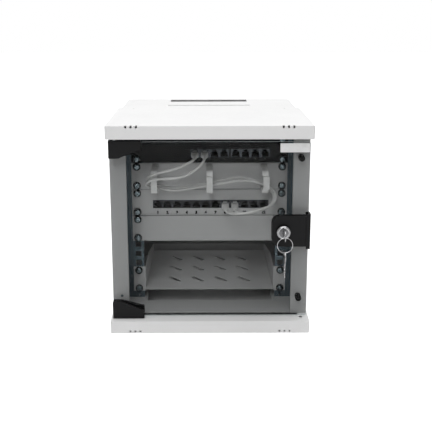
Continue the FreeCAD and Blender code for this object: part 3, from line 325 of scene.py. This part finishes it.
# The record's material slots
LOOKS = {
    "cover_white": powder_coat("cover_white", (0.80, 0.80, 0.80)),
    "body_grey": powder_coat("body_grey", (0.41, 0.41, 0.41)).matt(0.25),
    "panel_grey": powder_coat("panel_grey", (0.55, 0.55, 0.55)).matt(0.25),
    # Galvanised: its own blue-grey tone, kept dark as a painted reflection of dark surroundings
    "galvanised": galvanised("galvanised", (0.092, 0.128, 0.150)),
    "zinc_screw": plated("zinc_screw", (0.16, 0.195, 0.21), 0.24, rim=0.2),
    "black_plastic": moulded("black_plastic", (0.009, 0.009, 0.0095), 0.38).matt(0.15),
    "black_paint": powder_coat("black_paint", (0.009, 0.009, 0.0095), 0.40, 0.85).matt(0.1),
    # The jacks' ports get painted shade inside
    "jack_shell": dark_inside(
        plated("jack_shell", (0.065, 0.070, 0.078), 0.34, MARKS_ALONG_Z), "switch_jacks"),
    "jack_black": dark_inside(moulded("jack_black", (0.045, 0.047, 0.052), 0.42).matt(), "patch_jacks"),
    "board_green": moulded("board_green", (0.02, 0.11, 0.045), 0.3),
    "ring_grey": moulded("ring_grey", (0.80, 0.80, 0.79), 0.45),
    "cord_grey": moulded("cord_grey", (0.73, 0.73, 0.72), 0.42, grain=0.0006),
    "plug_clear": clear_plastic("plug_clear", (0.86, 0.87, 0.87)),
    "black_rubber": moulded("black_rubber", (0.006, 0.006, 0.006), 0.62).matt(0.1),
    "bush_nylon": moulded("bush_nylon", (0.70, 0.70, 0.67), 0.45),
    "door_glass": door_glass("door_glass"),
    # Lock chrome and key steel: base colours kept dark as a painted reflection of dark surroundings
    "lock_chrome": plated("lock_chrome", (0.27, 0.27, 0.275), 0.06, rim=0.12),
    "key_steel": plated("key_steel", (0.24, 0.24, 0.245), 0.14, MARKS_ALONG_Y, rim=0.3),
    "pin_steel": plated("pin_steel", (0.48, 0.49, 0.50), 0.28),
    "label_plain": moulded("label_plain", (0.90, 0.90, 0.90), 0.35),
    "idc_white": moulded("idc_white", (0.70, 0.70, 0.67), 0.5),
}

# Finishes of single pieces
GOLD = plated("contact_gold", (0.62, 0.44, 0.16), 0.22)
# Gold of the springs deep in the ports, painted almost black as shade
GOLD_PAINTED_SHADE = plated("contact_gold_painted_shade", (0.018, 0.014, 0.008), 0.3)
BOOT = moulded("boot_grey", (0.82, 0.82, 0.81), 0.48)
PLUG_METAL = plated("plug_metal", (0.13, 0.13, 0.135), 0.22, rim=0.3)
RING_WIRE = plated("ring_wire", (0.60, 0.60, 0.61), 0.16, rim=0.4)
INK_BLACK = moulded("ink_black", (0.006, 0.006, 0.006), 0.6).matt(0.1)
INK_GREY = moulded("ink_grey", (0.42, 0.42, 0.42), 0.6)
NODE_LOOKS = {"lock_plug": PLUG_METAL}


# CAD nodes: their own finish, and small radii on their edges
EDGE_RADIUS = 0.25 * MM
EDGE_RADII = {
    "top_cover": 0.4 * MM, "bottom_cover": 0.4 * MM, "door_glass": 0.5 * MM, "key": 0.3 * MM,
    "spare_key": 0.3 * MM, "lock_barrel": 0.4 * MM, "hinge_shoe_front_bottom": 0.2 * MM,
    "hinge_shoe_front_top": 0.2 * MM, "glass_gaskets": 0.1 * MM, "label_plate": 0.1 * MM,
    "switch_jacks": 0.15 * MM, "patch_jacks": 0.15 * MM,
}
SHARP_ANGLE = math.radians(38)
WELD_DISTANCE = 0.002 * MM
BEVEL_SEGMENTS = 2


def soften(thing, radius):
    """Joins the mesh's split edges, rounds its sharp ones and lets the flats keep their shading."""
    weld = thing.modifiers.new("weld", "WELD")
    weld.merge_threshold = WELD_DISTANCE
    bevel = thing.modifiers.new("edges", "BEVEL")
    bevel.width = radius
    bevel.segments = BEVEL_SEGMENTS
    bevel.limit_method = "ANGLE"
    bevel.angle_limit = SHARP_ANGLE
    bevel.use_clamp_overlap = True
    shade = thing.modifiers.new("shade", "WEIGHTED_NORMAL")
    shade.mode = "FACE_AREA"
    shade.keep_sharp = False


def dress_nodes():
    slots = {part["node"]: part["material_slot"] for part in frame["record"]["subparts"]}
    for name, thing in nodes.items():
        thing.data.materials.clear()
        thing.data.materials.append(NODE_LOOKS.get(name, LOOKS[slots[name]]).material)
        soften(thing, EDGE_RADII.get(name, EDGE_RADIUS))


# Mesh tools
def piece(name, body, look, mesh, stands_for=()):
    """Adds a mesh to the object, on a CAD body, in a look; the CAD nodes it stands for are hidden."""
    thing = add_object(name, mesh)
    mesh.materials.append(look.material)
    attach(thing, body)
    if stands_for:
        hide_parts(*stands_for)
    return thing


def finished(bm, name, smooth=True):
    """Turns a bmesh into a mesh, with its faces pointing outwards."""
    bmesh.ops.recalc_face_normals(bm, faces=bm.faces)
    for face in bm.faces:
        face.smooth = smooth
    mesh = bpy.data.meshes.new(name)
    bm.to_mesh(mesh)
    bm.free()
    return mesh


def add_block(bm, low, high, radius=0.0):
    """A box between two corners, with its edges rounded."""
    verts = bmesh.ops.create_cube(bm, size=1.0)["verts"]
    low = Vector(low)
    size = Vector(high) - low
    for vert in verts:
        vert.co = low + Vector((size[k] * (vert.co[k] + 0.5) for k in range(3)))
    if radius:
        edges = {edge for vert in verts for edge in vert.link_edges}
        bmesh.ops.bevel(bm, geom=list(edges), offset=radius, segments=BEVEL_SEGMENTS, affect="EDGES",
                        profile=0.5)


def add_loft(bm, rings):
    """A closed skin through rings that have the same number of points."""
    loops = [[bm.verts.new(point) for point in ring] for ring in rings]
    count = len(loops[0])
    for one, two in zip(loops, loops[1:]):
        for k in range(count):
            bm.faces.new((one[k], one[(k + 1) % count], two[(k + 1) % count], two[k]))
    bm.faces.new(loops[0])
    bm.faces.new(list(reversed(loops[-1])))


def add_wire(bm, path, radius, sides):
    """A round wire along a path of points."""
    rings = []
    side = None
    for k, point in enumerate(path):
        ahead = path[min(k + 1, len(path) - 1)] - path[max(k - 1, 0)]
        ahead.normalize()
        if side is None:
            side = ahead.orthogonal().normalized()
        side = (side - ahead * side.dot(ahead)).normalized()
        other = ahead.cross(side)
        rings.append([point + radius * (side * math.cos(turn) + other * math.sin(turn))
                      for turn in (2 * math.pi * j / sides for j in range(sides))])
    add_loft(bm, rings)


def rectangle(x, y, z, wide, high):
    """Four corners of a rectangle that faces Y, from its middle and half its sides."""
    return [Vector((x - wide, y, z - high)), Vector((x + wide, y, z - high)),
            Vector((x + wide, y, z + high)), Vector((x - wide, y, z + high))]


SQUIRCLE_POINTS = 28


def squircle(x, y, z, wide, high, power):
    """A rounded rectangle that faces Y. It is an ellipse at power 2, and squarer above."""
    ring = []
    for k in range(SQUIRCLE_POINTS):
        turn = 2 * math.pi * k / SQUIRCLE_POINTS
        across, up = math.cos(turn), math.sin(turn)
        ring.append(Vector((x + wide * math.copysign(abs(across) ** (2 / power), across), y,
                            z + high * math.copysign(abs(up) ** (2 / power), up))))
    return ring


def spread(middle, count, pitch):
    """Places in a row about its middle."""
    return [middle + (k - (count - 1) / 2) * pitch for k in range(count)]


# Patch cords: each route is a list of given points, as x, depth behind the covers' front, z
CORD_RADIUS = 2.0 * MM
CORD_BEVEL_RESOLUTION = 6
CORD_RESOLUTION = 10
CORD_1 = [
    (-0.0236, 0.0649, 0.26825), (-0.0236, 0.0540, 0.2681), (-0.0315, 0.0440, 0.2650),
    (-0.0455, 0.0410, 0.2585), (-0.0590, 0.0405, 0.2545), (-0.0735, 0.0410, 0.2510),
    (-0.0865, 0.0445, 0.2465), (-0.0970, 0.0530, 0.2400), (-0.1015, 0.0645, 0.2320),
    (-0.0975, 0.0750, 0.2245), (-0.0860, 0.0805, 0.2200), (-0.0710, 0.0815, 0.2165),
    (-0.0530, 0.0810, 0.2145), (-0.0340, 0.0805, 0.2165), (-0.0140, 0.0805, 0.2205),
    (0.0070, 0.0814, 0.2250), (0.0280, 0.0815, 0.2300), (0.0480, 0.0820, 0.2325),
    (0.0660, 0.0820, 0.2295), (0.0810, 0.0815, 0.2235), (0.0940, 0.0785, 0.2170),
    (0.1020, 0.0720, 0.2095), (0.1035, 0.0650, 0.2010), (0.0990, 0.0575, 0.1935),
    (0.0885, 0.0505, 0.1883), (0.0750, 0.0455, 0.1853), (0.0595, 0.0436, 0.1833),
    (0.0480, 0.0458, 0.1829), (0.0415, 0.0544, 0.1826), (0.0415, 0.0649, 0.1826),
]
CORD_2 = [
    (-0.0078, 0.0649, 0.26825), (-0.0078, 0.0540, 0.2681), (-0.0115, 0.0450, 0.2635),
    (-0.0195, 0.0410, 0.2560), (-0.0285, 0.0410, 0.2495), (-0.0400, 0.0415, 0.2435),
    (-0.0570, 0.0420, 0.2400), (-0.0750, 0.0425, 0.2395), (-0.0900, 0.0465, 0.2370),
    (-0.0985, 0.0535, 0.2310), (-0.1015, 0.0645, 0.2240), (-0.0945, 0.0730, 0.2185),
    (-0.0810, 0.0740, 0.2165), (-0.0640, 0.0730, 0.2130), (-0.0450, 0.0720, 0.2140),
    (-0.0240, 0.0720, 0.2175), (-0.0020, 0.0723, 0.2210), (0.0200, 0.0725, 0.2245),
    (0.0420, 0.0730, 0.2285), (0.0640, 0.0730, 0.2295), (0.0810, 0.0725, 0.2250),
    (0.0955, 0.0700, 0.2195), (0.1045, 0.0640, 0.2120), (0.1055, 0.0565, 0.2015),
    (0.0975, 0.0485, 0.1943), (0.0850, 0.0425, 0.1914), (0.0700, 0.0385, 0.1882),
    (0.0550, 0.0370, 0.1850), (0.0415, 0.0395, 0.1832), (0.0315, 0.0455, 0.1828),
    (0.0257, 0.0544, 0.1826), (0.0257, 0.0649, 0.1826),
]


def make_cord(name, route, node):
    """A round cord along its route, in place of its CAD node."""
    curve =bpy.data.curves.new(name, "CURVE")
    curve.dimensions = "3D"
    curve.bevel_depth = CORD_RADIUS
    curve.bevel_resolution = CORD_BEVEL_RESOLUTION
    curve.use_fill_caps = True
    spline = curve.splines.new("NURBS")
    spline.points.add(len(route) - 1)
    places = [(x, COVER_FRONT + depth, z) for x, depth, z in route]
    for point, place in zip(spline.points, places):
        point.co = (*place, 1.0)
    spline.order_u = 3
    spline.use_endpoint_u = True
    spline.resolution_u = CORD_RESOLUTION
    cord = add_object(name, curve)
    curve.materials.append(LOOKS["cord_grey"].material)
    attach(cord, "cabinet")
    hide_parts(node)


# Modular plugs
PLUG_NODES = ("plug_switch_1", "plug_switch_2", "plug_patch_8", "plug_patch_9")
PLUG_LENGTH = 21.5 * MM
PLUG_HALF_WIDTH = 5.85 * MM
PLUG_HEIGHT = 8.1 * MM
PLUG_EDGE_RADIUS = 0.4 * MM
# The latch's rings: behind the plug's nose, half width, rise above its top, half thickness, in mm
LATCH = ((1.0, 1.86, 0.0, 0.3), (4.0, 1.86, 0.5, 0.5), (11.0, 3.0, 1.6, 0.5), (19.0, 3.0, 2.4, 0.5),
         (21.0, 3.0, 2.5, 0.45))
CONTACTS = 8
CONTACT_PITCH = 1.02 * MM
BLADE_HALF_WIDTH = 0.16 * MM
BLADE_BACK = 6.5 * MM
BLADE_FRONT = 0.6 * MM
BLADE_HEIGHT = 2.6 * MM
BLADE_PROUD = 0.02 * MM

# The boot's rings: behind the plug, half width, half height, in mm, and the squircle's power
BOOT_HOOD = [(-0.3, 5.2, 3.7, 5.0), (0.0, 5.4, 3.9, 5.0), (5.0, 5.2, 3.8, 4.5), (7.0, 4.2, 3.5, 3.5)]
BOOT_LIP = [(19.6, 3.1, 3.0, 2.2), (20.0, 2.8, 2.7, 2.0)]
RIBS = 5
RIB_START = 8.0
RIB_PITCH = 2.2
RIB_HALF_WIDTH = 3.9
RIB_TAPER = 0.16
RIB_FLATNESS = 0.94
RIB_POWER = 2.6
RIB_STEPS = ((0.0, 1.0), (1.1, 1.0), (1.25, 0.84), (2.05, 0.84))    # behind its start, share of its width


def boot_rings():
    """The hood on the plug, ribs that get thinner, and the lip round the cord."""
    ribs = []
    for k in range(RIBS):
        for behind, share in RIB_STEPS:
            wide = (RIB_HALF_WIDTH - RIB_TAPER * k) * share
            ribs.append((RIB_START + RIB_PITCH * k + behind, wide, wide * RIB_FLATNESS, RIB_POWER))
    return BOOT_HOOD + ribs + BOOT_LIP


def make_plug(node):
    """Clear body with its latch and gold blades, and the grey boot behind it."""
    low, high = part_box(node)
    x = (low.x + high.x) / 2
    nose, base = high.y, low.z
    tail, top = nose - PLUG_LENGTH, base + PLUG_HEIGHT
    bm = bmesh.new()
    add_block(bm, (x - PLUG_HALF_WIDTH, tail, base), (x + PLUG_HALF_WIDTH, nose, top), PLUG_EDGE_RADIUS)
    add_loft(bm, [rectangle(x, nose - behind * MM, top + rise * MM, wide * MM, thick * MM)
                  for behind, wide, rise, thick in LATCH])
    body = piece(node + "_body", "cabinet", LOOKS["plug_clear"], finished(bm, node + "_body", False),
                 [node])
    bm = bmesh.new()
    for middle in spread(x, CONTACTS, CONTACT_PITCH):
        add_block(bm, (middle - BLADE_HALF_WIDTH, nose - BLADE_BACK, base - BLADE_PROUD),
                  (middle + BLADE_HALF_WIDTH, nose - BLADE_FRONT, base + BLADE_HEIGHT))
    blades = piece(node + "_blades", "cabinet", GOLD, finished(bm, node + "_blades", False))
    bm = bmesh.new()
    add_loft(bm, [squircle(x, tail - behind * MM, (base + top) / 2, wide * MM, high * MM, power)
                  for behind, wide, high, power in boot_rings()])
    boot = piece(node + "_boot", "cabinet", BOOT, finished(bm, node + "_boot"))
    return [body, blades, boot]


# Ports: contact springs inside, plain numbers below
PORT_PITCH = 15.8 * MM
PORT_RISE = 0.8 * MM
PATCH_PORTS = 12
SWITCH_BLOCK_PORTS = 4
SPRING_RADIUS = 0.2 * MM
SPRING_SIDES = 6
# A spring's line: behind the jacks' face, and rise above the port's floor, in mm
SPRING_LINE = ((3.2, 0.3), (3.6, 0.9), (5.5, 2.2), (8.5, 3.9), (11.5, 5.2), (13.8, 5.6))
PATCH_NUMBER_DROP = 9.7 * MM
PATCH_NUMBER_HEIGHT = 4.5 * MM
SWITCH_NUMBER_DROP = 3.4 * MM
SWITCH_NUMBER_HEIGHT = 1.3 * MM
NUMBER_STAND_OFF = 0.03 * MM
NUMBER_RELIEF = 0.02 * MM
FONT_SIZE = 1.4         # for figures of height 1
FONT_WEIGHT = 0.13      # how far the outlines grow, as a share of the figures' height


def make_contacts(name, ports, low, face):
    """Eight gold springs in each port, rising from its floor towards the back, their gold painted dark as
    shade.
    """
    bm = bmesh.new()
    for x in ports:
        for across in spread(x, CONTACTS, CONTACT_PITCH):
            path = [Vector((across, face + behind * MM, low + rise * MM)) for behind, rise in SPRING_LINE]
            add_wire(bm, path, SPRING_RADIUS, SPRING_SIDES)
    piece(name, "cabinet", GOLD_PAINTED_SHADE, finished(bm, name))


def add_text(bm, text, x, y, z, height):
    """Flat bold figures that face the door, centred on x and standing on z."""
    curve = bpy.data.curves.new("figures", "FONT")
    curve.body = text
    curve.size = height * FONT_SIZE
    curve.offset = height * FONT_WEIGHT
    curve.align_x = "CENTER"
    curve.extrude = NUMBER_RELIEF
    curve.resolution_u = 3
    holder = bpy.data.objects.new("figures", curve)
    mesh = bpy.data.meshes.new_from_object(holder)
    mesh.transform(Matrix.Translation((x, y, z)) @ Matrix.Rotation(math.pi / 2, 4, "X"))
    bm.from_mesh(mesh)
    bpy.data.meshes.remove(mesh)
    bpy.data.objects.remove(holder)
    bpy.data.curves.remove(curve)


def make_numbers(name, look, places, y, z, height):
    """The numbers from 1 up, one at each place."""
    bm = bmesh.new()
    for number, x in enumerate(places, start=1):
        add_text(bm, str(number), x, y, z, height)
    mesh = bpy.data.meshes.new(name)
    bm.to_mesh(mesh)
    bm.free()
    piece(name, "cabinet", look, mesh)


def dress_ports():
    number_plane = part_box("patch_panel")[0].y - NUMBER_STAND_OFF
    low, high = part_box("patch_jacks")
    places = spread((low.x + high.x) / 2, PATCH_PORTS, PORT_PITCH)
    make_contacts("patch_contacts", places, low.z + PORT_RISE, low.y)
    make_numbers("patch_numbers", INK_BLACK, places, number_plane, low.z - PATCH_NUMBER_DROP,
                 PATCH_NUMBER_HEIGHT)
    low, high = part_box("switch_jacks")
    half_block = SWITCH_BLOCK_PORTS * PORT_PITCH / 2
    places = [place for middle in (low.x + half_block, high.x - half_block)
              for place in spread(middle, SWITCH_BLOCK_PORTS, PORT_PITCH)]
    make_contacts("switch_contacts", places, low.z + PORT_RISE, low.y)
    make_numbers("switch_numbers", INK_GREY, places, number_plane, low.z - SWITCH_NUMBER_DROP,
                 SWITCH_NUMBER_HEIGHT)


# Split ring
RING_TURNS = 2
RING_STEPS = 64
RING_START = 2.2        # where the wire ends, in radians from the ring's right
RING_SIDES = 10
RING_WIRE_SHARE = 0.96  # the wire's thickness, as a share of the room for each turn


def make_split_ring():
    """Two turns of wire side by side, in the space of the CAD ring."""
    low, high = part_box("key_ring")
    middle = (low + high) / 2
    wire = (high.y - low.y) / 4
    reach = (high.x - low.x) / 2 - wire
    path = []
    for k in range(RING_TURNS * RING_STEPS + 1):
        turn = 2 * math.pi * k / RING_STEPS + RING_START
        shift = -wire + 2 * wire * k / (RING_TURNS * RING_STEPS)
        path.append(middle + Vector((reach * math.cos(turn), shift, reach * math.sin(turn))))
    bm = bmesh.new()
    add_wire(bm, path, wire * RING_WIRE_SHARE, RING_SIDES)
    piece("split_ring", nodes["key_ring"]["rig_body"], RING_WIRE, finished(bm, "split_ring"),
          ["key_ring"])


# Studio
WORLD_LIGHT = 0.06
FLOOR_HALF = 6.0
FLOOR_GAP = 0.1 * MM
FLOOR_ROUGHNESS = 0.7
# From near to far, the floor's colour falls and its glow rises, so that it ends in white
FLOOR_COLOURS = (0.9, 0.4)
FLOOR_GLOWS = (0.6, 1.0)
FLOOR_NEAR = 0.5
FLOOR_FAR = 1.3
# name, place, target, size in metres, power in watts
LAMPS = (
    ("lamp_above", (0.0, -0.35, 3.0), (0.0, -0.35, 0.0), (3.6, 3.9), 108.0),
    ("lamp_front", (-0.6, -3.2, 2.5), (0.0, -0.1, 0.17), (1.3, 1.1), 40.0),
    ("reflector", (0.0, -0.75, 0.01), (0.0, -0.70, 0.3), (1.2, 0.5), 1.5),
)


def seen_rays(tree):
    """1 for what the camera sees, also in mirrors and through glass, 0 for rays that light the object."""
    rays = add_node(tree, "ShaderNodeLightPath").outputs
    seen = rays["Is Camera Ray"]
    for name in ("Is Glossy Ray", "Is Transmission Ray"):
        seen = calculate(tree, "MAXIMUM", seen, rays[name])
    return calculate(tree, "SUBTRACT", seen, rays["Diffuse Depth"], clamp=True)


def make_world():
    """White where it is seen, and a faint light from all sides."""
    world = bpy.data.worlds.new("studio")
    world.use_nodes = True
    bpy.context.scene.world = world
    tree = world.node_tree
    background = tree.nodes["Background"]
    background.inputs["Color"].default_value = WHITE
    level = add_node(tree, "ShaderNodeMapRange", {
        "Value": seen_rays(tree), "To Min": WORLD_LIGHT, "To Max": 1.0})
    tree.links.new(level.outputs["Result"], background.inputs["Strength"])


def make_floor():
    """A pale floor that keeps the object's shadow."""
    mesh = bpy.data.meshes.new("studio_floor")
    half = FLOOR_HALF
    corners = [(-half, -half, 0.0), (half, -half, 0.0), (half, half, 0.0), (-half, half, 0.0)]
    mesh.from_pydata(corners, [], [(0, 1, 2, 3)])
    floor = add_object("studio_floor", mesh)
    floor.location.z = cad_low.z - FLOOR_GAP
    material = bpy.data.materials.new("studio_floor")
    material.use_nodes = True
    tree = material.node_tree
    shader = tree.nodes["Principled BSDF"]
    shader.inputs["Roughness"].default_value = FLOOR_ROUGHNESS
    shader.inputs["Emission Color"].default_value = WHITE
    place = add_node(tree, "ShaderNodeTexCoord").outputs["Object"]
    distance = add_node(tree, "ShaderNodeVectorMath", {0: place}, operation="LENGTH").outputs["Value"]
    colour, glow = [add_node(tree, "ShaderNodeMapRange", {
        "Value": distance, "From Min": FLOOR_NEAR, "From Max": FLOOR_FAR, "To Min": near, "To Max": far,
    }).outputs["Result"] for near, far in (FLOOR_COLOURS, FLOOR_GLOWS)]
    tree.links.new(colour, shader.inputs["Base Color"])
    tree.links.new(calculate(tree, "MULTIPLY", seen_rays(tree), glow), shader.inputs["Emission Strength"])
    mesh.materials.append(material)


def add_lamp(name, place, target, size, power):
    data = bpy.data.lights.new(name, "AREA")
    data.shape = "RECTANGLE"
    data.size, data.size_y = size
    data.energy = power
    lamp = add_object(name, data)
    lamp.location = place
    lamp.rotation_euler = (Vector(target) - Vector(place)).to_track_quat("-Z", "Y").to_euler()


def make_studio():
    bpy.context.scene.view_settings.view_transform = "Standard"
    make_world()
    make_floor()
    for lamp in LAMPS:
        add_lamp(*lamp)


make_camera()
make_studio()
dress_nodes()
plugs = {node: make_plug(node) for node in PLUG_NODES}
make_cord("cord_one", CORD_1, "patch_cord_1")
make_cord("cord_two", CORD_2, "patch_cord_2")
dress_ports()
make_split_ring()
